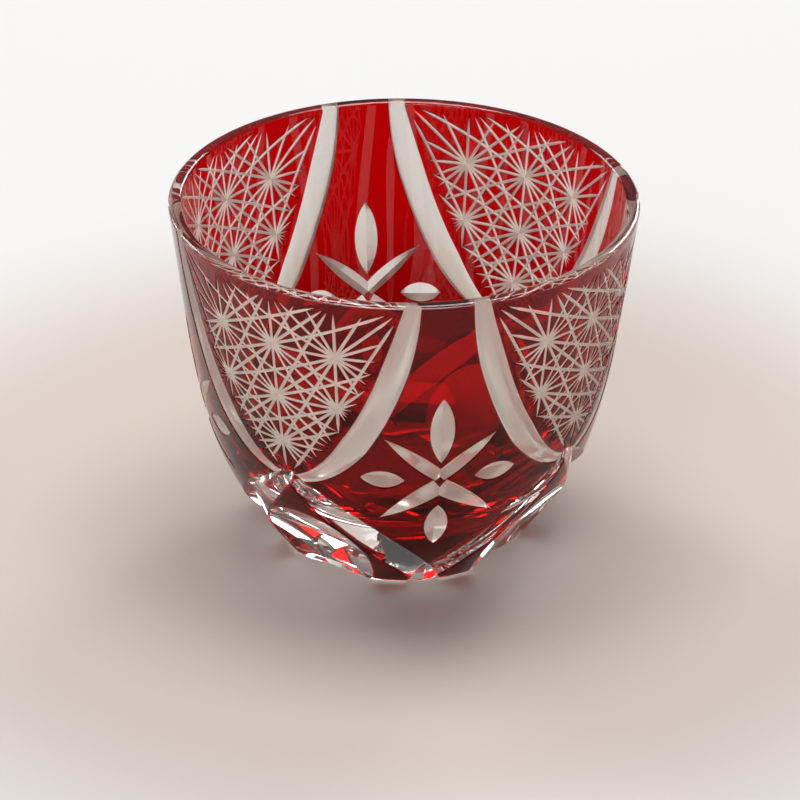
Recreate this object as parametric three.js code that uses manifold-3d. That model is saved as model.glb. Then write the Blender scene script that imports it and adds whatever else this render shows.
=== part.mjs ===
// Cut-glass sake cup: a clear crystal bowl cased with a thin layer of ruby glass.
// The cutter's wheels go through the ruby into the crystal, so the casing is left as separate panels:
// four flower panels, four star panels and four foot panels, all fused to the crystal bowl.
// Millimetres, +Z up, origin at the middle of the foot. A flower panel faces -Y, and the pattern
// repeats every quarter turn. A place on the outside is an angle from -Y towards +X, and a height.
import * as THREE from "three";
import { mergeVertices } from "three/addons/utils/BufferGeometryUtils.js";
import Module from "manifold-3d";

const wasm = await Module();
wasm.setup();

// Driving dimensions
const HEIGHT = 52;
const RIM_RADIUS = 33;
const FOOT_RADIUS = 17;
const FLOOR_HEIGHT = 9; // the thick clear floor of the bowl
const LIP_WALL = 1.9; // wall thickness at the lip
const LIP_ROUND = 0.5; // height of the lip's rounding
const CASING = 0.2; // thickness of the ruby layer
const FUSED_GAP = 0.03; // keeps the casing's solids apart from the bowl's
const FOOT_BEVEL = 0.6; // the ruby stops this far above the foot's flat
const FOOT_RING = 3.6; // width of the flat ring that the cup stands on
const FOOT_RECESS_DEPTH = 0.8; // the underside is ground hollow inside the ring
const CASING_TOP = HEIGHT - LIP_ROUND; // the lip above this is bare polished crystal

// Pattern
const REPEATS = 4;
const PANEL_STEP = 360 / REPEATS;
const JUNCTION = { angle: PANEL_STEP / 2, height: 20.4 }; // where four wide cuts meet in a point
const BAND_WIDTH = 4.2;
const BAND_DEPTH = 0.7;
const FOOT_MITRE_WIDTH = 6.4;
const FOOT_MITRE_DEPTH = 1.3;
const FOOT_MITRE_BASE = 1.4; // height of its middle line under the flower
const FOOT_HOLLOW_HEIGHT = 5;
const FOOT_HOLLOW_DEPTH = 1.95;
const FOOT_HOLLOW_WHEEL = 60; // radius of the wheel's round face
const FLOWER_HEIGHT = 23.2;

// Mesh fineness
const TURN_SEGMENTS = 48;
const OUTER_STEPS = 8;
const INNER_STEPS = 9;
const WELD = 0.012; // a point this close to a straight edge or a flat face is left out

// Outline of the outside, from the foot to the lip
const outerCurve = new THREE.CubicBezierCurve(
  new THREE.Vector2(FOOT_RADIUS, 0),
  new THREE.Vector2(27.9, 14),
  new THREE.Vector2(28.6, 17.6),
  new THREE.Vector2(RIM_RADIUS, HEIGHT),
);
// Outline of the drinking bowl, from the middle of its floor to the lip
const innerCurve = new THREE.CubicBezierCurve(
  new THREE.Vector2(0, FLOOR_HEIGHT),
  new THREE.Vector2(23, FLOOR_HEIGHT),
  new THREE.Vector2(26.4, 15),
  new THREE.Vector2(RIM_RADIUS - LIP_WALL, HEIGHT - LIP_ROUND),
);

const { lerp, degToRad, radToDeg, clamp } = THREE.MathUtils;

// The curve's parameter at a height, by bisection: both curves only rise.
function parameterAt(curve, height) {
  let low = 0;
  let high = 1;
  for (let i = 0; i < 40; i++) {
    const middle = (low + high) / 2;
    if (curve.getPoint(middle).y < height) low = middle;
    else high = middle;
  }
  return (low + high) / 2;
}

// A point and its outward normal on the outside, for an angle in degrees and a height.
// Past the lip and the foot the outline runs on straight, so that a cut can run out over an edge.
function onOutside(angle, height) {
  const inside = clamp(height, 0, HEIGHT);
  const t = parameterAt(outerCurve, inside);
  const tangent = outerCurve.getTangent(t);
  const slope = tangent.x / tangent.y;
  const radius = outerCurve.getPoint(t).x + slope * (height - inside);
  const around = new THREE.Vector3(Math.sin(degToRad(angle)), -Math.cos(degToRad(angle)), 0);
  return {
    point: around.clone().multiplyScalar(radius).setZ(height),
    normal: around.clone().setZ(-slope).normalize(),
  };
}

// A closed mesh as a solid, and back again
function solid(geometry) {
  const bare = geometry.clone();
  bare.deleteAttribute("normal");
  bare.deleteAttribute("uv");
  const merged = mergeVertices(bare, 1e-4);
  return new wasm.Manifold(
    new wasm.Mesh({
      numProp: 3,
      vertProperties: merged.attributes.position.array,
      triVerts: new Uint32Array(merged.index.array),
    }),
  );
}

function geometryOf(body) {
  const mesh = body.asOriginal().simplify(WELD).getMesh();
  const geometry = new THREE.BufferGeometry();
  geometry.setAttribute("position", new THREE.BufferAttribute(mesh.vertProperties, 3));
  geometry.setIndex(new THREE.BufferAttribute(mesh.triVerts, 1));
  geometry.computeVertexNormals();
  return geometry;
}

// A profile of [radius, height] turned about Z: it is turned about Y and then stood up.
function turnedGeometry(profile, segments) {
  const points = profile.map(([radius, height]) => new THREE.Vector2(radius, height));
  return new THREE.LatheGeometry(points, segments).rotateX(Math.PI / 2);
}

const turned = (profile) => solid(turnedGeometry(profile, TURN_SEGMENTS));

// The outside's outline between two heights, moved inwards by a depth
function outline(depth, bottom, top, steps) {
  const from = parameterAt(outerCurve, bottom);
  const to = parameterAt(outerCurve, top);
  return Array.from({ length: steps + 1 }, (_, i) => {
    const t = lerp(from, to, i / steps);
    const point = outerCurve.getPoint(t);
    const tangent = outerCurve.getTangent(t);
    return [point.x - depth * tangent.y, point.y + depth * tangent.x];
  });
}

// The rounded lip, over the wall from outside to inside
function lip(outside, inside, steps) {
  const half = (outside[0] - inside[0]) / 2;
  return Array.from({ length: steps - 1 }, (_, i) => {
    const a = (Math.PI * (i + 1)) / steps;
    return [inside[0] + half * (1 + Math.cos(a)), inside[1] + (HEIGHT - inside[1]) * Math.sin(a)];
  });
}

// Rings of points joined into one closed solid: every ring has the same number of points.
function loft(rings) {
  const count = rings[0].length;
  const index = [];
  for (let i = 0; i + 1 < rings.length; i++)
    for (let j = 0; j < count; j++) {
      const next = (j + 1) % count;
      const [a, b] = [i * count + j, i * count + next];
      index.push(a, b, b + count, a, b + count, a + count);
    }
  const last = (rings.length - 1) * count;
  for (let j = 1; j + 1 < count; j++) {
    index.push(0, j + 1, j);
    index.push(last, last + j, last + j + 1);
  }
  const geometry = new THREE.BufferGeometry().setFromPoints(rings.flat());
  geometry.setIndex(index);
  const body = solid(geometry);
  if (body.volume() > 0) return body;
  geometry.setIndex(index.reverse());
  return solid(geometry);
}

// Wheel sections across a cut, as [place across in half widths, depth in full depths]
const FLUTE = [-1, -0.7, 0, 0.7, 1].map((x) => [x, 1 - Math.abs(x) ** 3]);
const MITRE = [-1, 0, 1].map((x) => [x, 1 - Math.abs(x)]);
const CLEAR_OF_SURFACE = 1.5; // how far a cutter stands out of the glass
const FLARE = 0.3; // how much a cutter widens on its way out, over its own slope

// A slanted mitre has one wide flank and one narrow, steep one: valley is its lowest line's place.
const slantedMitre = (valley) => [
  [-1, 0],
  [valley, 1],
  [1, 0],
];

// One wheel cut. path(u) gives [angle, height], size(u) gives [width, depth], and u runs from 0 to 1.
function wheelCut({ path, size, section, stations }) {
  const rings = Array.from({ length: stations + 1 }, (_, i) => {
    const u = i / stations;
    const here = onOutside(...path(u));
    const before = onOutside(...path(Math.max(0, u - 0.01)));
    const after = onOutside(...path(Math.min(1, u + 0.01)));
    const across = after.point.sub(before.point).cross(here.normal).normalize();
    const [width, depth] = size(u);
    const at = (x, down) =>
      here.point.clone().addScaledVector(across, x).addScaledVector(here.normal, -down);
    const spread = (width / 2) * (1 + (FLARE * CLEAR_OF_SURFACE) / depth);
    return [
      at(-spread, -CLEAR_OF_SURFACE),
      ...section.map(([x, d]) => at((x * width) / 2, d * depth)),
      at(spread, -CLEAR_OF_SURFACE),
    ];
  });
  return loft(rings);
}

const straight = (from, to) => (u) => [lerp(from[0], to[0], u), lerp(from[1], to[1], u)];

// A cut pointed at both ends: fullness 1 gives a plain lens and less gives blunter ends.
function lens(width, depth, fullness = 1) {
  return (u) => {
    const share = Math.max(0.03, (4 * u * (1 - u)) ** fullness);
    return [width * share, depth * Math.sqrt(share)];
  };
}

// A wide flute from the junction up and out over the lip, beside a flower panel
function band(side) {
  const curve = new THREE.CubicBezierCurve(
    new THREE.Vector2(JUNCTION.angle + 3, JUNCTION.height),
    new THREE.Vector2(25.1, 19.2),
    new THREE.Vector2(10.7, 38.9),
    new THREE.Vector2(7.9, HEIGHT + 2),
  );
  const size = (u) => {
    const pointed = Math.min(1, u / 0.42) ** 0.8;
    const narrowed = 1 - 0.45 * clamp((u - 0.72) / 0.25, 0, 1) ** 1.5;
    const share = Math.max(0.1, pointed * narrowed);
    return [BAND_WIDTH * share, BAND_DEPTH * Math.sqrt(share)];
  };
  const path = (u) => {
    const place = curve.getPoint(u);
    return [side * place.x, place.y];
  };
  return wheelCut({ path, size, section: FLUTE, stations: 10 });
}

// A long slanted mitre from the junction down and out over the foot, under a flower panel
function footMitre(side) {
  const rise = (JUNCTION.height - FOOT_MITRE_BASE) / JUNCTION.angle;
  const at = (angle) => [side * angle, FOOT_MITRE_BASE + rise * angle];
  return wheelCut({
    path: straight(at(JUNCTION.angle + 3), at(-9)),
    size: lens(FOOT_MITRE_WIDTH, FOOT_MITRE_DEPTH, 0.7),
    section: slantedMitre(side * 0.65),
    stations: 8,
  });
}

// A big shallow round hollow on a foot panel, ground with the round face of a wide wheel
function footHollow() {
  const { point, normal } = onOutside(JUNCTION.angle, FOOT_HOLLOW_HEIGHT);
  const [rings, reach] = [4, degToRad(15)];
  const face = Array.from({ length: rings + 1 }, (_, i) => {
    const a = (reach * i) / rings;
    return [FOOT_HOLLOW_WHEEL * Math.sin(a), FOOT_HOLLOW_WHEEL * (1 - Math.cos(a))];
  });
  const back = FOOT_HOLLOW_DEPTH + 6;
  const wheel = turnedGeometry([...face, [face.at(-1)[0], back], [0, back]], 32);
  const outward = new THREE.Quaternion().setFromUnitVectors(new THREE.Vector3(0, 0, 1), normal);
  const apex = point.addScaledVector(normal, -FOOT_HOLLOW_DEPTH);
  return solid(wheel.applyQuaternion(outward).translate(apex.x, apex.y, apex.z));
}

// The flower: four mitred rays in a cross, and four leaves
function flower() {
  const ray = ({ from, to, width, fullness, section }) =>
    wheelCut({
      path: straight(from, to),
      size: (u) => {
        const share = Math.max(0.04, (1 - u) * (1 + fullness * u));
        return [width * share, 0.95 * Math.sqrt(share)];
      },
      section,
      stations: 5,
    });
  const leaf = (from, to, width) =>
    wheelCut({ path: straight(from, to), size: lens(width, 0.95, 0.85), section: MITRE, stations: 5 });
  const upperRay = { from: [0, FLOWER_HEIGHT], width: 2.1, fullness: 2.2, section: MITRE };
  const lowerRay = { from: [0, FLOWER_HEIGHT - 1.8], width: 3.4, fullness: 1.1 };
  const sides = [-1, 1].flatMap((side) => [
    ray({ ...upperRay, to: [side * 15.4, 29.9] }),
    ray({ ...lowerRay, to: [side * 17.4, 15.6], section: slantedMitre(side * -0.4) }),
    leaf([side * 9.9, 22.7], [side * 22.3, 23], 3.4),
  ]);
  return [...sides, leaf([0, 25.6], [0, 36.5], 4.2), leaf([0, 10.1], [0, 18], 4)];
}

// Every wide cut of one repeat, then of the whole cup
const oneRepeat = [-1, 1].flatMap((side) => [band(side), footMitre(side)]);
oneRepeat.push(footHollow(), ...flower());
const cuts = wasm.Manifold.union(
  Array.from({ length: REPEATS }, (_, k) =>
    oneRepeat.map((body) => body.rotate([0, 0, k * PANEL_STEP])),
  ).flat(),
);

// The crystal bowl under the casing
function crystalBowl() {
  const wall = outline(CASING + FUSED_GAP, FOOT_BEVEL, CASING_TOP, OUTER_STEPS);
  const bareLip = outline(0, CASING_TOP + FUSED_GAP, CASING_TOP + 2 * FUSED_GAP, 1);
  const bowl = innerCurve.getPoints(INNER_STEPS).map((p) => [p.x, p.y]);
  const foot = [
    [0, FOOT_RECESS_DEPTH],
    [FOOT_RADIUS - FOOT_RING - 4, FOOT_RECESS_DEPTH * 0.8],
    [FOOT_RADIUS - FOOT_RING, 0],
    [FOOT_RADIUS - 0.4, 0],
    [FOOT_RADIUS, FOOT_BEVEL / 2],
  ];
  const overLip = lip(bareLip[1], bowl.at(-1), 6);
  return turned([...foot, ...wall, ...bareLip, ...overLip, ...bowl.reverse()]).subtract(cuts);
}

// The ruby casing, cut into its panels
function casingPanels() {
  const outside = outline(0, FOOT_BEVEL, CASING_TOP, OUTER_STEPS);
  const inside = outline(CASING, FOOT_BEVEL, CASING_TOP, OUTER_STEPS);
  return turned([...outside, ...inside.reverse(), outside[0]]).subtract(cuts).decompose();
}

// A casing panel's name follows from where its middle is.
function panelName(body) {
  const { min, max } = body.boundingBox();
  const angle = radToDeg(Math.atan2(min[0] + max[0], -(min[1] + max[1])));
  const eighth = (Math.round(angle / (PANEL_STEP / 2)) + 2 * REPEATS) % (2 * REPEATS);
  const number = Math.floor(eighth / 2) + 1;
  if (eighth % 2 === 0) return `flower_panel_${number}`;
  return max[2] > HEIGHT / 2 ? `star_panel_${number}` : `foot_panel_${number}`;
}

const crystal = new THREE.MeshStandardMaterial({
  name: "crystal",
  color: 0xf2f6f7,
  roughness: 0.02,
  metalness: 0,
  transparent: true,
  opacity: 0.35,
});
const ruby = new THREE.MeshStandardMaterial({
  name: "ruby",
  color: 0xa80510,
  roughness: 0.03,
  metalness: 0,
});

function meshOf(name, body, material) {
  const mesh = new THREE.Mesh(geometryOf(body), material);
  mesh.name = name;
  return mesh;
}

const cup = new THREE.Group();
cup.add(meshOf("crystal_bowl", crystalBowl(), crystal));
for (const panel of casingPanels()) cup.add(meshOf(panelName(panel), panel, ruby));

export default cup;
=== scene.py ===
import math

import bmesh
import bpy
import numpy as np
from mathutils import Matrix, Quaternion, Vector


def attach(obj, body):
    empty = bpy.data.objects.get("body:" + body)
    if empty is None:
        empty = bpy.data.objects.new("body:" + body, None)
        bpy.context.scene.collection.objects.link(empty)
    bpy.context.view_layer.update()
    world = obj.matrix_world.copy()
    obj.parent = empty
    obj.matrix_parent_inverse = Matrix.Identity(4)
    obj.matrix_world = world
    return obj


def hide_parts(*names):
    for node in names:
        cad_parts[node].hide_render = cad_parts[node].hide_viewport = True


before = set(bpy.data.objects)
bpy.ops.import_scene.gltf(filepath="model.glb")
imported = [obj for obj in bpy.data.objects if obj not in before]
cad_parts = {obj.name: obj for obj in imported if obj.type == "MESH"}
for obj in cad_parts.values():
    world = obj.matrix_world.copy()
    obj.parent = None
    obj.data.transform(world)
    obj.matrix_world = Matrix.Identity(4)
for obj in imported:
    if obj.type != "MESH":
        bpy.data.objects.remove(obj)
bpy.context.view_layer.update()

# The cup's dimensions, in millimetres, as in the part's source
MM = 0.001
HEIGHT = 52.0
RIM_RADIUS = 33.0
FOOT_RADIUS = 17.0
FLOOR_HEIGHT = 9.0  # the thick clear floor of the bowl
LIP_WALL = 1.9
LIP_ROUND = 0.5
CASING = 0.12  # the ruby layer as it looks; the solids have it a little thicker
FUSED_GAP = 0.01  # keeps the ruby's faces apart from the crystal's
FOOT_BEVEL = 0.6
FOOT_RING = 3.6
FOOT_RECESS_DEPTH = 0.8
CASING_TOP = HEIGHT - LIP_ROUND  # the lip above this is bare polished crystal
TRUE_ROUND = 0.998  # the solids are 48-sided, so a round cup of their rim's width is this much narrower

# The pattern, in millimetres and degrees
REPEATS = 4
PANEL_STEP = 90.0
JUNCTION_ANGLE = 45.0  # where four wide cuts meet in a point
JUNCTION_HEIGHT = 20.4
BAND_WIDTH = 4.2
BAND_DEPTH = 0.7
FOOT_MITRE_WIDTH = 6.1
FOOT_MITRE_DEPTH = 1.3
FOOT_MITRE_BASE = 1.4  # height of its middle line under the flower
FOOT_MITRE_RISE = (JUNCTION_HEIGHT - FOOT_MITRE_BASE) / JUNCTION_ANGLE
FOOT_HOLLOW_HEIGHT = 5.0
FOOT_HOLLOW_DEPTH = 1.85
FOOT_HOLLOW_WHEEL = 60.0  # radius of the wheel's round face
FLOWER_HEIGHT = 23.2
FLOWER_DEPTH = 0.95
STAR_PITCH = 17.3  # between two columns of stars
LINE_WIDTH = 0.66
LINE_DEPTH = 0.4
LINE_TAPER = 2.4  # length over which an engraved line comes to a point
LATTICE_TOP = 50.6
LATTICE_BOTTOM = JUNCTION_HEIGHT + 1.2
LATTICE_MARGIN = 0.3  # between the lattice and the flutes

# Mesh fineness
TURN_SEGMENTS = 240
OUTER_STEPS = 44
INNER_STEPS = 40
LIP_STEPS = 24
ON_AXIS = 1e-6


# Outlines

def bezier(points, t):
    p = [np.asarray(q, float) for q in points]
    t = np.asarray(t, float)[:, None]
    return (1 - t) ** 3 * p[0] + 3 * (1 - t) ** 2 * t * p[1] + 3 * (1 - t) * t * t * p[2] + t ** 3 * p[3]


OUTER = [(FOOT_RADIUS, 0), (27.9, 14), (28.6, 17.6), (RIM_RADIUS, HEIGHT)]
INNER = [(0, FLOOR_HEIGHT), (23, FLOOR_HEIGHT), (26.4, 15), (RIM_RADIUS - LIP_WALL, HEIGHT - LIP_ROUND)]
outer_line = bezier(OUTER, np.linspace(0, 1, 4001))
outer_line_slope = np.gradient(outer_line[:, 0], outer_line[:, 1])


def outer_slope(height):
    return np.interp(np.clip(height, 0, HEIGHT), outer_line[:, 1], outer_line_slope)


def outer_radius(height):
    """Past the lip and the foot the outline runs on straight, so that a cut can run out over an edge."""
    inside = np.clip(height, 0, HEIGHT)
    return np.interp(inside, outer_line[:, 1], outer_line[:, 0]) + outer_slope(height) * (height - inside)


def on_outside(angle, height):
    """Points and outward normals on the outside, for angles in degrees from -Y towards +X, and heights."""
    angle, height = np.radians(np.asarray(angle, float)), np.asarray(height, float)
    around = np.stack([np.sin(angle), -np.cos(angle), np.zeros_like(angle)], -1)
    up = np.zeros_like(around)
    up[..., 2] = 1
    normal = around - up * outer_slope(height)[..., None]
    normal /= np.linalg.norm(normal, axis=-1, keepdims=True)
    return around * outer_radius(height)[..., None] + up * height[..., None], normal


def outline(depth, bottom, top, steps):
    """The outside's outline between two heights, moved inwards by a depth."""
    height = np.linspace(bottom, top, steps + 1)
    slope = outer_slope(height)
    run = np.sqrt(1 + slope ** 2)
    return list(zip(outer_radius(height) - depth / run, height + depth * slope / run))


# Meshes. Each face has a material slot, which stays with it through the cutting.

POLISHED, FUSED, SKIN, FLUTED, ENGRAVED, FOOT = range(6)


def mesh_object(name, verts, faces, slots):
    mesh = bpy.data.meshes.new(name)
    mesh.from_pydata([tuple(v) for v in np.asarray(verts) * MM], [], faces)
    mesh.polygons.foreach_set("material_index", np.broadcast_to(slots, len(faces)).astype(np.int32))
    mesh.update()
    made = bpy.data.objects.new(name, mesh)
    bpy.context.scene.collection.objects.link(made)
    return made


def turned(name, profile, segments):
    """A closed outline of (radius, height, slot of the face that follows), turned about Z."""
    angles = np.arange(segments) * 2 * math.pi / segments
    verts, rows = [], []
    for radius, height, _ in profile:
        if radius < ON_AXIS:
            rows.append([len(verts)] * segments)
            verts.append((0.0, 0.0, height))
        else:
            rows.append(list(range(len(verts), len(verts) + segments)))
            verts += [(radius * math.sin(a), -radius * math.cos(a), height) for a in angles]
    faces, slots = [], []
    closed = profile[0][0] > ON_AXIS
    pairs = list(zip(rows, rows[1:])) + ([(rows[-1], rows[0])] if closed else [])
    for (low, high), (_, _, slot) in zip(pairs, profile):
        for j in range(segments):
            k = (j + 1) % segments
            face = list(dict.fromkeys([low[j], low[k], high[k], high[j]]))
            if len(face) > 2:
                faces.append(face)
                slots.append(slot)
    return mesh_object(name, verts, faces, slots)


def facing_out(verts, faces):
    """The triangles of a closed solid, turned over where they face inwards."""
    corners = verts[np.array(faces)]
    volume = np.einsum("ij,ij->i", corners[:, 0], np.cross(corners[:, 1], corners[:, 2])).sum()
    return verts, [tuple(reversed(face)) for face in faces] if volume < 0 else faces


def loft(rings):
    """Rings of the same number of points, joined into one closed solid of triangles."""
    stations, count = rings.shape[:2]
    faces = []
    for i in range(stations - 1):
        for j in range(count):
            k = (j + 1) % count
            a, b = i * count + j, i * count + k
            faces += [(a, b, b + count), (a, b + count, a + count)]
    last = (stations - 1) * count
    for j in range(1, count - 1):
        faces += [(0, j + 1, j), (last, last + j, last + j + 1)]
    return facing_out(rings.reshape(-1, 3), faces)


def repeated(name, slot, verts, faces):
    """One cutter at each repeat of the pattern. The copies lie apart, so that they are one closed mesh."""
    all_verts, all_faces = [], []
    for k in range(REPEATS):
        a = math.radians(k * PANEL_STEP)
        turn = np.array([[math.cos(a), -math.sin(a), 0], [math.sin(a), math.cos(a), 0], [0, 0, 1]])
        all_faces += [tuple(i + len(verts) * k for i in face) for face in faces]
        all_verts.append(verts @ turn.T)
    return mesh_object(name, np.concatenate(all_verts), all_faces, slot)


# Wheel cuts. A section is (place across in half widths, depth in full depths).

FLUTE = [(x, 1 - abs(x) ** 3) for x in np.linspace(-1, 1, 19)]
MITRE = [(-1, 0), (0, 1), (1, 0)]


def slanted_mitre(valley):
    """One flank wide and the other narrow and steep: valley is its lowest line's place."""
    return [(-1, 0), (valley, 1), (1, 0)]


def wheel_cut(path, size, section, stations, clear=1.5, flare=0.3):
    """path(u) gives angle and height, size(u) gives width and depth, for an array u from 0 to 1.
    The cutter stands out of the glass by clear, and widens on the way by flare over its own slope."""
    u = np.linspace(0, 1, stations + 1)
    here, normal = on_outside(*path(u))
    before, _ = on_outside(*path(np.maximum(0, u - 0.004)))
    after, _ = on_outside(*path(np.minimum(1, u + 0.004)))
    across = np.cross(after - before, normal)
    across /= np.linalg.norm(across, axis=1, keepdims=True)
    width, depth = size(u)
    spread = width / 2 * (1 + flare * clear / depth)
    outside = np.full_like(u, -clear)
    columns = [(-spread, outside), *((x * width / 2, d * depth) for x, d in section), (spread, outside)]
    return loft(np.stack([here + across * x[:, None] - normal * down[:, None] for x, down in columns], 1))


def straight(start, end):
    return lambda u: (start[0] + (end[0] - start[0]) * u, start[1] + (end[1] - start[1]) * u)


def lens(width, depth, fullness):
    """A cut pointed at both ends: fullness 1 gives a plain lens and less gives blunter ends."""
    def size(u):
        share = np.maximum(0.03, (4 * u * (1 - u)) ** fullness)
        return width * share, depth * np.sqrt(share)
    return size


# A wide flute from the junction up and out over the lip, as (angle, height)
BAND = [(JUNCTION_ANGLE + 3, JUNCTION_HEIGHT), (25.1, 19.2), (10.7, 38.9), (7.9, HEIGHT + 2)]
band_line = bezier(BAND, np.linspace(0, 1, 200))


def band_size(u):
    pointed = np.minimum(1, u / 0.42) ** 0.8
    narrowed = 1 - 0.45 * np.clip((u - 0.72) / 0.25, 0, 1) ** 1.5
    share = np.maximum(0.1, pointed * narrowed)
    return BAND_WIDTH * share, BAND_DEPTH * np.sqrt(share)


def band_edge(height):
    """The angle of the flute's middle line at a height."""
    return np.interp(height, band_line[:, 1], band_line[:, 0])


def band(side):
    def path(u):
        place = bezier(BAND, u)
        return side * place[:, 0], place[:, 1]
    return wheel_cut(path, band_size, FLUTE, 56)


def foot_mitre(side):
    """A long slanted mitre from the junction down and out over the foot, under a flower panel"""
    ends = [(side * a, FOOT_MITRE_BASE + FOOT_MITRE_RISE * a) for a in (JUNCTION_ANGLE + 3, -9)]
    size = lens(FOOT_MITRE_WIDTH, FOOT_MITRE_DEPTH, 0.7)
    return wheel_cut(straight(*ends), size, slanted_mitre(side * 0.65), 40)


def foot_hollow():
    """A cap of a big ball, for the round face of a wide wheel, from its lowest point out."""
    place, normal = (found[0] for found in on_outside([JUNCTION_ANGLE], [FOOT_HOLLOW_HEIGHT]))
    side = np.cross(normal, [0, 0, 1.0])
    side /= np.linalg.norm(side)
    over = np.cross(side, normal)
    rings, around = 22, 72
    back = FOOT_HOLLOW_DEPTH + 6
    apex = place - normal * FOOT_HOLLOW_DEPTH
    reach = np.radians(np.linspace(0, 15, rings + 1))[1:]
    steps = [(FOOT_HOLLOW_WHEEL * math.sin(a), FOOT_HOLLOW_WHEEL * (1 - math.cos(a))) for a in reach]
    steps.append((steps[-1][0], back))
    turn = np.arange(around) * 2 * math.pi / around
    verts = [apex]
    for radius, rise in steps:
        verts += [apex + normal * rise + radius * (side * math.cos(t) + over * math.sin(t)) for t in turn]
    verts.append(apex + normal * back)
    faces = []
    rim = 1 + rings * around
    for j in range(around):
        k = (j + 1) % around
        faces.append((0, 1 + k, 1 + j))
        for i in range(rings):
            a, b = 1 + i * around + j, 1 + i * around + k
            faces += [(a, b, b + around), (a, b + around, a + around)]
        faces.append((rim + j, rim + k, len(verts) - 1))
    return facing_out(np.array(verts), faces)


def ray(start, end, width, fullness, section):
    def size(u):
        share = np.maximum(0.04, (1 - u) * (1 + fullness * u))
        return width * share, FLOWER_DEPTH * np.sqrt(share)
    return wheel_cut(straight(start, end), size, section, 18)


def leaf(start, end, width):
    return wheel_cut(straight(start, end), lens(width, FLOWER_DEPTH, 0.85), MITRE, 24)


def flower():
    """Four mitred rays in a cross, and four leaves"""
    upper, lower = (0, FLOWER_HEIGHT), (0, FLOWER_HEIGHT - 1.8)
    cuts = [leaf((0, 25.6), (0, 36.5), 4.2), leaf((0, 10.1), (0, 18), 4.0)]
    for side in (-1, 1):
        cuts.append(ray(upper, (side * 15.4, 29.9), 2.1, 2.2, MITRE))
        cuts.append(ray(lower, (side * 17.4, 15.6), 3.4, 1.1, slanted_mitre(side * -0.4)))
        cuts.append(leaf((side * 9.9, 22.7), (side * 22.3, 23.0), 3.4))
    return cuts


# The star lattice: nodes on a lattice of columns and rows, and lines through them in eight directions.
# The rows' heights follow a smooth curve, because they lie further apart towards the lip.

ROWS = np.polyfit([-1, 0, 1, 2, 3], [20.4, 26.7, 34.1, 42.8, 51.5], 3)
NODES = [(-1, 1), (0, 1), (1, 1), (-1, 2), (0, 2), (1, 2), (0, 0)]
DIRECTIONS = [(1, 0), (0, 1), (1, 1), (1, -1), (1, 2), (1, -2), (2, 1), (2, -1)]


def in_star_panel(angle, height):
    """Whether a place, as an angle from the star panel's middle and a height, is in the lattice's field."""
    width, _ = band_size(np.linspace(0, 1, len(band_line)))
    line, _ = on_outside(band_line[:, 0], band_line[:, 1])
    from_flower = PANEL_STEP / 2 - np.abs(angle)
    place, _ = on_outside(from_flower, height)
    gap = np.linalg.norm(place[:, None] - line[None], axis=-1) - width / 2
    beside = from_flower > band_edge(height)
    return (gap.min(1) > LATTICE_MARGIN) & beside & (height < LATTICE_TOP) & (height > LATTICE_BOTTOM)


def star_lines():
    """A cutter for each lattice line: the stretch through its node that is in the field."""
    lines = {}
    for i, j in NODES:
        for di, dj in DIRECTIONS:
            lines[(di, dj, dj * i - di * j)] = ((i, j), (di, dj))
    t = np.linspace(-5, 5, 4001)
    middle = len(t) // 2
    for (i, j), (di, dj) in lines.values():
        angle, height = STAR_PITCH * (i + di * t), np.polyval(ROWS, j + dj * t)
        fits = (np.abs(angle) < PANEL_STEP / 2) & (height > 0) & (height < HEIGHT)
        fits[fits] = in_star_panel(angle[fits], height[fits])
        if not fits[middle]:
            continue
        low = middle - np.argmin(np.append(fits[:middle + 1][::-1], False)) + 1
        high = middle + np.argmin(np.append(fits[middle:], False)) - 1
        start, end = t[low], t[high]
        place, _ = on_outside(angle[low:high + 1], height[low:high + 1])
        length = np.linalg.norm(np.diff(place, axis=0), axis=1).sum()

        def path(u):
            s = start + (end - start) * u
            return JUNCTION_ANGLE + STAR_PITCH * (i + di * s), np.polyval(ROWS, j + dj * s)

        def size(u):
            near_end = np.minimum(u, 1 - u) * length / LINE_TAPER
            share = np.clip(near_end, 0.06, 1)
            return LINE_WIDTH * share, LINE_DEPTH * share

        yield wheel_cut(path, size, MITRE, max(4, int(length / 1.3)), clear=0.4, flare=1.0)


def all_cutters():
    cutters = [(FLUTED, cutter) for cutter in (band(-1), band(1), *flower())]
    cutters += [(POLISHED, cutter) for cutter in (foot_mitre(-1), foot_mitre(1), foot_hollow())]
    cutters += [(ENGRAVED, cutter) for cutter in star_lines()]
    return [repeated(f"cutter_{n}", slot, *cutter) for n, (slot, cutter) in enumerate(cutters)]


def cut(body, cutters):
    """Every cut in turn. The body has a place for each material slot, so that cut faces keep theirs."""
    for _ in range(FOOT + 1):
        body.data.materials.append(None)
    for cutter in cutters:
        step = body.modifiers.new("cut", "BOOLEAN")
        step.operation = "DIFFERENCE"
        step.solver = "MANIFOLD"
        step.object = cutter
    bpy.context.view_layer.update()
    graph = bpy.context.evaluated_depsgraph_get()
    mesh = bpy.data.meshes.new_from_object(body.evaluated_get(graph), depsgraph=graph)
    body.modifiers.clear()
    body.data = mesh
    return body


def in_slot(points, slot):
    return [(radius, height, slot) for radius, height in points]


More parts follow.
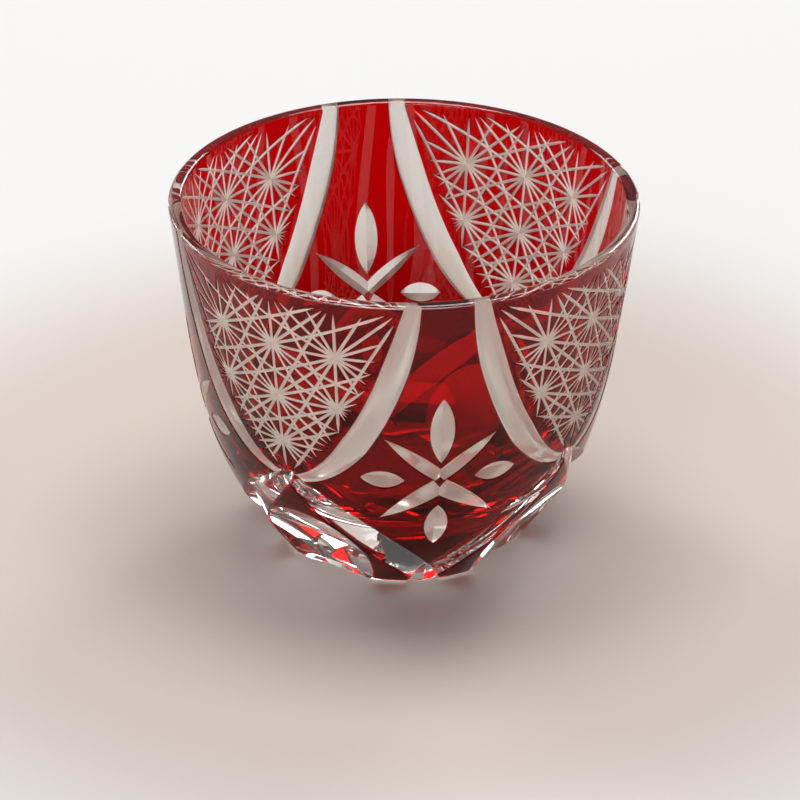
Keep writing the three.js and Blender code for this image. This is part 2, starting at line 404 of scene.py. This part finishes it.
def crystal_profile():
    ring = FOOT_RADIUS - FOOT_RING
    foot = in_slot([(0, FOOT_RECESS_DEPTH), (ring - 4, FOOT_RECESS_DEPTH * 0.8), (ring, 0)], FOOT)
    foot += in_slot([(FOOT_RADIUS - 0.4, 0), (FOOT_RADIUS, FOOT_BEVEL / 2)], POLISHED)
    wall = in_slot(outline(CASING + FUSED_GAP, FOOT_BEVEL, CASING_TOP, OUTER_STEPS), FUSED)
    wall[-1] = (*wall[-1][:2], POLISHED)
    bare = in_slot(outline(0, CASING_TOP + 0.02, CASING_TOP + 0.05, 1), POLISHED)
    bowl = in_slot([tuple(p) for p in bezier(INNER, np.linspace(0, 1, INNER_STEPS + 1))], POLISHED)
    outside, inside = bare[-1], bowl[-1]
    half, rise = (outside[0] - inside[0]) / 2, HEIGHT - inside[1]
    turns = [math.pi * i / LIP_STEPS for i in range(1, LIP_STEPS)]
    lip = [(inside[0] + half * (1 + math.cos(a)), inside[1] + rise * math.sin(a)) for a in turns]
    return foot + wall + bare + in_slot(lip, POLISHED) + bowl[::-1]


def casing_profile():
    outside = in_slot(outline(0, FOOT_BEVEL, CASING_TOP, OUTER_STEPS), SKIN)
    inside = in_slot(outline(CASING, FOOT_BEVEL, CASING_TOP, OUTER_STEPS)[::-1], FUSED)
    for side in (outside, inside):
        side[-1] = (*side[-1][:2], POLISHED)
    return outside + inside


cutters = all_cutters()
crystal_blank = cut(turned("crystal_blank", crystal_profile(), TURN_SEGMENTS), cutters)
casing_blank = cut(turned("casing_blank", casing_profile(), TURN_SEGMENTS), cutters)
for cutter in cutters:
    bpy.data.objects.remove(cutter)


# From the cut blanks to pieces

TO_CAD_BOX = Matrix.Diagonal((TRUE_ROUND, TRUE_ROUND, 0.9999, 1))
SHARP = math.radians(12)
CRUMB = 0.15  # an island smaller than this is dust from the cutting


def arrays(mesh):
    """Vertices in millimetres, each face's vertices, and each face's material slot."""
    verts = np.zeros(len(mesh.vertices) * 3)
    mesh.vertices.foreach_get("co", verts)
    loops = np.zeros(len(mesh.loops), int)
    mesh.loops.foreach_get("vertex_index", loops)
    starts = np.zeros(len(mesh.polygons), int)
    mesh.polygons.foreach_get("loop_start", starts)
    slots = np.zeros(len(mesh.polygons), int)
    mesh.polygons.foreach_get("material_index", slots)
    return verts.reshape(-1, 3) / MM, np.split(loops, starts[1:]), slots


def islands(verts, faces):
    """A number for each vertex, the same for all that are joined."""
    pairs = np.concatenate([np.stack([face, np.roll(face, 1)], 1) for face in faces])
    label = np.arange(len(verts))
    while True:
        low = label.copy()
        np.minimum.at(low, pairs[:, 0], label[pairs[:, 1]])
        np.minimum.at(low, pairs[:, 1], label[pairs[:, 0]])
        low = low[low]
        if (low == label).all():
            return label
        label = low


def panel_name(low, high):
    """The casing panel that an island belongs to, from its box."""
    x, y, z = (low + high) / 2
    angle = math.degrees(math.atan2(x, -y)) % 360
    nearest_flower = round(angle / PANEL_STEP)
    off = abs(angle - nearest_flower * PANEL_STEP)
    between_flowers = int(angle // PANEL_STEP) % REPEATS + 1
    if z > JUNCTION_HEIGHT and off > band_edge(z):
        return f"star_panel_{between_flowers}"
    if z < FOOT_MITRE_BASE + FOOT_MITRE_RISE * off:
        return f"foot_panel_{between_flowers}"
    return f"flower_panel_{nearest_flower % REPEATS + 1}"


def piece(name, verts, faces, slots, fused_side, materials):
    """A finished mesh, with exact normals on the turned outside and the fused faces, and sharp edges at cuts.
    fused_side is 1 where the fused faces look outwards and -1 where they look inwards."""
    made = mesh_object(name, verts, [tuple(int(i) for i in face) for face in faces], slots)
    mesh = made.data
    for paint in materials:
        mesh.materials.append(paint)
    work = bmesh.new()
    work.from_mesh(mesh)
    for face in work.faces:
        face.smooth = True
    for edge in work.edges:
        if len(edge.link_faces) == 2:
            one, other = edge.link_faces
            same = one.material_index == other.material_index
            edge.smooth = same and one.normal.angle(other.normal, 0) < SHARP
    work.to_mesh(mesh)
    work.free()
    x, y, z = verts.T
    outward = np.stack([x, y, -outer_slope(z) * np.hypot(x, y)], 1)
    outward /= np.linalg.norm(outward, axis=1, keepdims=True) + 1e-12
    side = np.select([slots == FUSED, slots == SKIN], [fused_side, 1], 0)
    side = np.repeat(side, [len(face) for face in faces])
    mesh.normals_split_custom_set((outward[np.concatenate(faces)] * side[:, None]).tolist())
    mesh.transform(TO_CAD_BOX)
    mesh.update()
    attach(made, "root")
    return made


# Materials

def material(name, shader_kind):
    made = bpy.data.materials.new(name)
    made.use_nodes = True
    tree = made.node_tree
    tree.nodes.clear()
    output = tree.nodes.new("ShaderNodeOutputMaterial")
    shader = tree.nodes.new(shader_kind)
    tree.links.new(shader.outputs[0], output.inputs["Surface"])
    return made, tree, shader


def stretched(tree, value, source, target=(0, 1), smooth=True):
    """A value taken from one range into another, and held at its ends."""
    node = tree.nodes.new("ShaderNodeMapRange")
    node.interpolation_type = "SMOOTHSTEP" if smooth else "LINEAR"
    node.inputs["From Min"].default_value, node.inputs["From Max"].default_value = source
    node.inputs["To Min"].default_value, node.inputs["To Max"].default_value = target
    tree.links.new(value, node.inputs["Value"])
    return node.outputs["Result"]


def noise(tree, place, scale, detail=2.0):
    node = tree.nodes.new("ShaderNodeTexNoise")
    node.inputs["Scale"].default_value = scale
    node.inputs["Detail"].default_value = detail
    tree.links.new(place.outputs["Object"], node.inputs["Vector"])
    return node.outputs["Fac"]


def mixed_colour(tree, amount, first, second):
    node = tree.nodes.new("ShaderNodeMix")
    node.data_type = "RGBA"
    node.inputs["A"].default_value = (*first, 1)
    node.inputs["B"].default_value = (*second, 1)
    tree.links.new(amount, node.inputs["Factor"])
    return node.outputs["Result"]


def glass(name, colour, ripple, haze, sheen=1.0, clear=1.0):
    """Glass with a faint ripple from the wheels and a finish that varies a little.
    haze is its lowest and highest roughness, and clear is the share of light that goes through."""
    made, tree, shader = material(name, "ShaderNodeBsdfPrincipled")
    shader.inputs["Base Color"].default_value = (*colour, 1)
    shader.inputs["Transmission Weight"].default_value = clear
    shader.inputs["IOR"].default_value = 1.53
    shader.inputs["Specular Tint"].default_value = (sheen, sheen, sheen, 1)
    place = tree.nodes.new("ShaderNodeTexCoord")
    bump = tree.nodes.new("ShaderNodeBump")
    bump.inputs["Strength"].default_value = ripple
    bump.inputs["Distance"].default_value = 0.0002
    tree.links.new(noise(tree, place, 140, 1.5), bump.inputs["Height"])
    tree.links.new(bump.outputs["Normal"], shader.inputs["Normal"])
    finish = stretched(tree, noise(tree, place, 400), (0.35, 0.8), haze, smooth=False)
    tree.links.new(finish, shader.inputs["Roughness"])
    return made


def ruby(name, colour, shaded_foot_colour, heights, ripple, haze, sheen):
    """Ruby glass, painted darker towards the foot: the darker colour there is painted shade."""
    made = glass(name, colour, ripple, haze, sheen)
    tree = made.node_tree
    shader = next(node for node in tree.nodes if node.type == "BSDF_PRINCIPLED")
    place = tree.nodes.new("ShaderNodeTexCoord")
    split = tree.nodes.new("ShaderNodeSeparateXYZ")
    tree.links.new(place.outputs["Object"], split.inputs["Vector"])
    # painted shade: the colour darkens from the upper height down to the lower one, towards the foot
    up = stretched(tree, split.outputs["Z"], heights)
    tree.links.new(mixed_colour(tree, up, shaded_foot_colour, colour), shader.inputs["Base Color"])
    return made


def fused_face(name, colour):
    """Where two glasses are one, light goes straight on, and the thin casing tints it."""
    made, _, shader = material(name, "ShaderNodeBsdfTransparent")
    shader.inputs["Color"].default_value = (*colour, 1)
    return made


clear_glass = glass("clear_glass", (0.985, 0.99, 0.988), 0.05, (0.0, 0.02))
# The cream tint of the fluted and engraved cuts is painted warm light, not the crystal's own colour.
fluted_glass = glass("fluted_glass", (1.0, 0.95, 0.85), 0.0, (0.28, 0.32), clear=0.6)
engraved_glass = glass("engraved_glass", (1.0, 0.95, 0.86), 0.05, (0.65, 0.75), clear=0.45)
foot_glass = glass("foot_glass", (0.98, 0.985, 0.98), 0.1, (0.03, 0.09))
# The ruby's second colour is painted shade, blending in from 40 mm down to 14 mm above the floor.
ruby_glass = ruby("ruby_glass", (0.40, 0.0006, 0.002), (0.14, 0.0002, 0.0006), (0.014, 0.04),
                  ripple=0.03, haze=(0.0, 0.02), sheen=0.3)
fused_crystal = fused_face("fused_crystal", (0.72, 0.02, 0.03))
fused_ruby = fused_face("fused_ruby", (1, 1, 1))

# In the order of the material slots
CRYSTAL_MATERIALS = [clear_glass, fused_crystal, clear_glass, fluted_glass, engraved_glass, foot_glass]
CASING_MATERIALS = [ruby_glass, fused_ruby, ruby_glass, ruby_glass, ruby_glass]

verts, faces, slots = arrays(crystal_blank.data)
crystal = piece("crystal_bowl_cut", verts, faces, slots, 1, CRYSTAL_MATERIALS)
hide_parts("crystal_bowl")

verts, faces, slots = arrays(casing_blank.data)
label = islands(verts, faces)
low = np.full((len(verts), 3), 1e9)
high = np.full((len(verts), 3), -1e9)
np.minimum.at(low, label, verts)
np.maximum.at(high, label, verts)
owner = {int(n): panel_name(low[n], high[n]) for n in np.unique(label) if (high[n] - low[n]).max() > CRUMB}
grouped = {}
for number, face in enumerate(faces):
    name = owner.get(int(label[face[0]]))
    if name:
        grouped.setdefault(name, []).append(number)
for name, own in sorted(grouped.items()):
    used, where = np.unique(np.concatenate([faces[i] for i in own]), return_inverse=True)
    panel_faces = np.split(where, np.cumsum([len(faces[i]) for i in own])[:-1])
    panel = piece(name + "_ruby", verts[used], panel_faces, slots[own], -1, CASING_MATERIALS)
    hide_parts(name)
for blank in (crystal_blank, casing_blank):
    bpy.data.objects.remove(blank)


# Floor, world and lamps, in metres and watts

scene = bpy.context.scene
FLOOR_HALF = 4.0
FLOOR_DROP = 0.00002  # keeps the floor's face apart from the foot's
WHITE = (0.94, 0.94, 0.94, 1)


def floor_paint():
    """A pale warm floor, paler further out. Far off it is a plain white background to the eye and in the
    glass, and gives no light."""
    made, tree, shader = material("floor_paint", "ShaderNodeBsdfPrincipled")
    shader.inputs["Roughness"].default_value = 0.9
    shader.inputs["Specular IOR Level"].default_value = 0.1
    place = tree.nodes.new("ShaderNodeTexCoord")
    away = tree.nodes.new("ShaderNodeVectorMath")
    away.operation = "LENGTH"
    tree.links.new(place.outputs["Object"], away.inputs[0])
    near_edge = stretched(tree, away.outputs["Value"], (0.06, 0.11))
    paint = mixed_colour(tree, near_edge, (0.53, 0.46, 0.41), (0.66, 0.655, 0.65))
    tree.links.new(paint, shader.inputs["Base Color"])

    def combined(operation, first, second):
        node = tree.nodes.new("ShaderNodeMath")
        node.operation = operation
        tree.links.new(first, node.inputs[0])
        tree.links.new(second, node.inputs[1])
        return node.outputs[0]

    rays = tree.nodes.new("ShaderNodeLightPath").outputs
    seen = combined("MAXIMUM", rays["Is Camera Ray"], rays["Is Glossy Ray"])
    seen = combined("MAXIMUM", seen, rays["Is Transmission Ray"])
    amount = combined("MULTIPLY", seen, stretched(tree, away.outputs["Value"], (0.16, 0.4)))
    white = tree.nodes.new("ShaderNodeEmission")
    white.inputs["Color"].default_value = WHITE
    blend = tree.nodes.new("ShaderNodeMixShader")
    tree.links.new(amount, blend.inputs["Fac"])
    tree.links.new(shader.outputs[0], blend.inputs[1])
    tree.links.new(white.outputs[0], blend.inputs[2])
    output = next(node for node in tree.nodes if node.type == "OUTPUT_MATERIAL")
    tree.links.new(blend.outputs[0], output.inputs["Surface"])
    return made


floor_mesh = bpy.data.meshes.new("floor")
corners = [(-FLOOR_HALF, -FLOOR_HALF, 0), (FLOOR_HALF, -FLOOR_HALF, 0),
           (FLOOR_HALF, FLOOR_HALF, 0), (-FLOOR_HALF, FLOOR_HALF, 0)]
floor_mesh.from_pydata(corners, [], [(0, 1, 2, 3)])
floor = bpy.data.objects.new("floor", floor_mesh)
floor.location.z = -FLOOR_DROP
scene.collection.objects.link(floor)
floor_mesh.materials.append(floor_paint())


def studio():
    """A dim room, a little lighter overhead and to the back, that the eye sees as plain white."""
    world = bpy.data.worlds.new("studio")
    world.use_nodes = True
    tree = world.node_tree
    tree.nodes.clear()
    output = tree.nodes.new("ShaderNodeOutputWorld")
    direction = tree.nodes.new("ShaderNodeTexCoord")
    upwards = tree.nodes.new("ShaderNodeVectorMath")
    upwards.operation = "DOT_PRODUCT"
    upwards.inputs[1].default_value = (0, 0.35, 0.94)
    tree.links.new(direction.outputs["Generated"], upwards.inputs[0])
    room = tree.nodes.new("ShaderNodeBackground")
    room.inputs["Color"].default_value = (1, 1, 1, 1)
    level = stretched(tree, upwards.outputs["Value"], (0.3, 0.95), (0.06, 0.3))
    tree.links.new(level, room.inputs["Strength"])
    backdrop = tree.nodes.new("ShaderNodeBackground")
    backdrop.inputs["Color"].default_value = WHITE
    rays = tree.nodes.new("ShaderNodeLightPath")
    choose = tree.nodes.new("ShaderNodeMixShader")
    tree.links.new(rays.outputs["Is Camera Ray"], choose.inputs["Fac"])
    tree.links.new(room.outputs[0], choose.inputs[1])
    tree.links.new(backdrop.outputs[0], choose.inputs[2])
    tree.links.new(choose.outputs[0], output.inputs["Surface"])
    return world


scene.world = studio()


def softbox(name, place, target, size, power):
    lamp = bpy.data.lights.new(name, "AREA")
    lamp.shape = "RECTANGLE"
    lamp.size, lamp.size_y = size
    lamp.energy = power
    made = bpy.data.objects.new(name, lamp)
    made.location = place
    made.rotation_mode = "QUATERNION"
    made.rotation_quaternion = (Vector(target) - Vector(place)).to_track_quat("-Z", "Y")
    scene.collection.objects.link(made)


softbox("overhead", (0.06, 0.12, 0.95), (0.02, 0.0, 0), (0.7, 0.45), 7.8)
softbox("fill", (-0.35, -0.75, 0.6), (0, 0, 0.03), (0.6, 0.4), 2.8)
softbox("back_left", (-0.55, 0.75, 0.45), (0, 0, 0.03), (0.3, 0.5), 3.4)
softbox("back_right", (0.6, 0.7, 0.45), (0, 0, 0.03), (0.25, 0.5), 3.4)


# Camera: the photograph's angle, with the long lens that its flat perspective shows

FRAME_PIXELS = 800
FOCAL_PIXELS = 6000.0
SENSOR = 36  # in millimetres
AZIMUTH = math.radians(-10.77)
ELEVATION = math.radians(28.34)
ROLL = math.radians(0.54)
DISTANCE = 0.8508
AIM_HEIGHT = 0.02004
AIM_LEFT = 0.0003
camera_data = bpy.data.cameras.new("camera")
camera_data.sensor_width = SENSOR
camera_data.lens = FOCAL_PIXELS / FRAME_PIXELS * SENSOR
camera_data.clip_start, camera_data.clip_end = 0.05, 20
camera = bpy.data.objects.new("camera", camera_data)
scene.collection.objects.link(camera)
right = Vector((math.cos(AZIMUTH), math.sin(AZIMUTH), 0))
level = math.cos(ELEVATION)
back = Vector((math.sin(AZIMUTH) * level, -math.cos(AZIMUTH) * level, math.sin(ELEVATION)))
camera.location = Vector((0, 0, AIM_HEIGHT)) + back * DISTANCE - right * AIM_LEFT
camera.rotation_mode = "QUATERNION"
camera.rotation_quaternion = (-back).to_track_quat("-Z", "Y") @ Quaternion((0, 0, 1), ROLL)
scene.camera = camera

scene.view_settings.view_transform = "Standard"
scene.cycles.max_bounces = 32
scene.cycles.transmission_bounces = 32
scene.cycles.glossy_bounces = 12
scene.cycles.transparent_max_bounces = 64
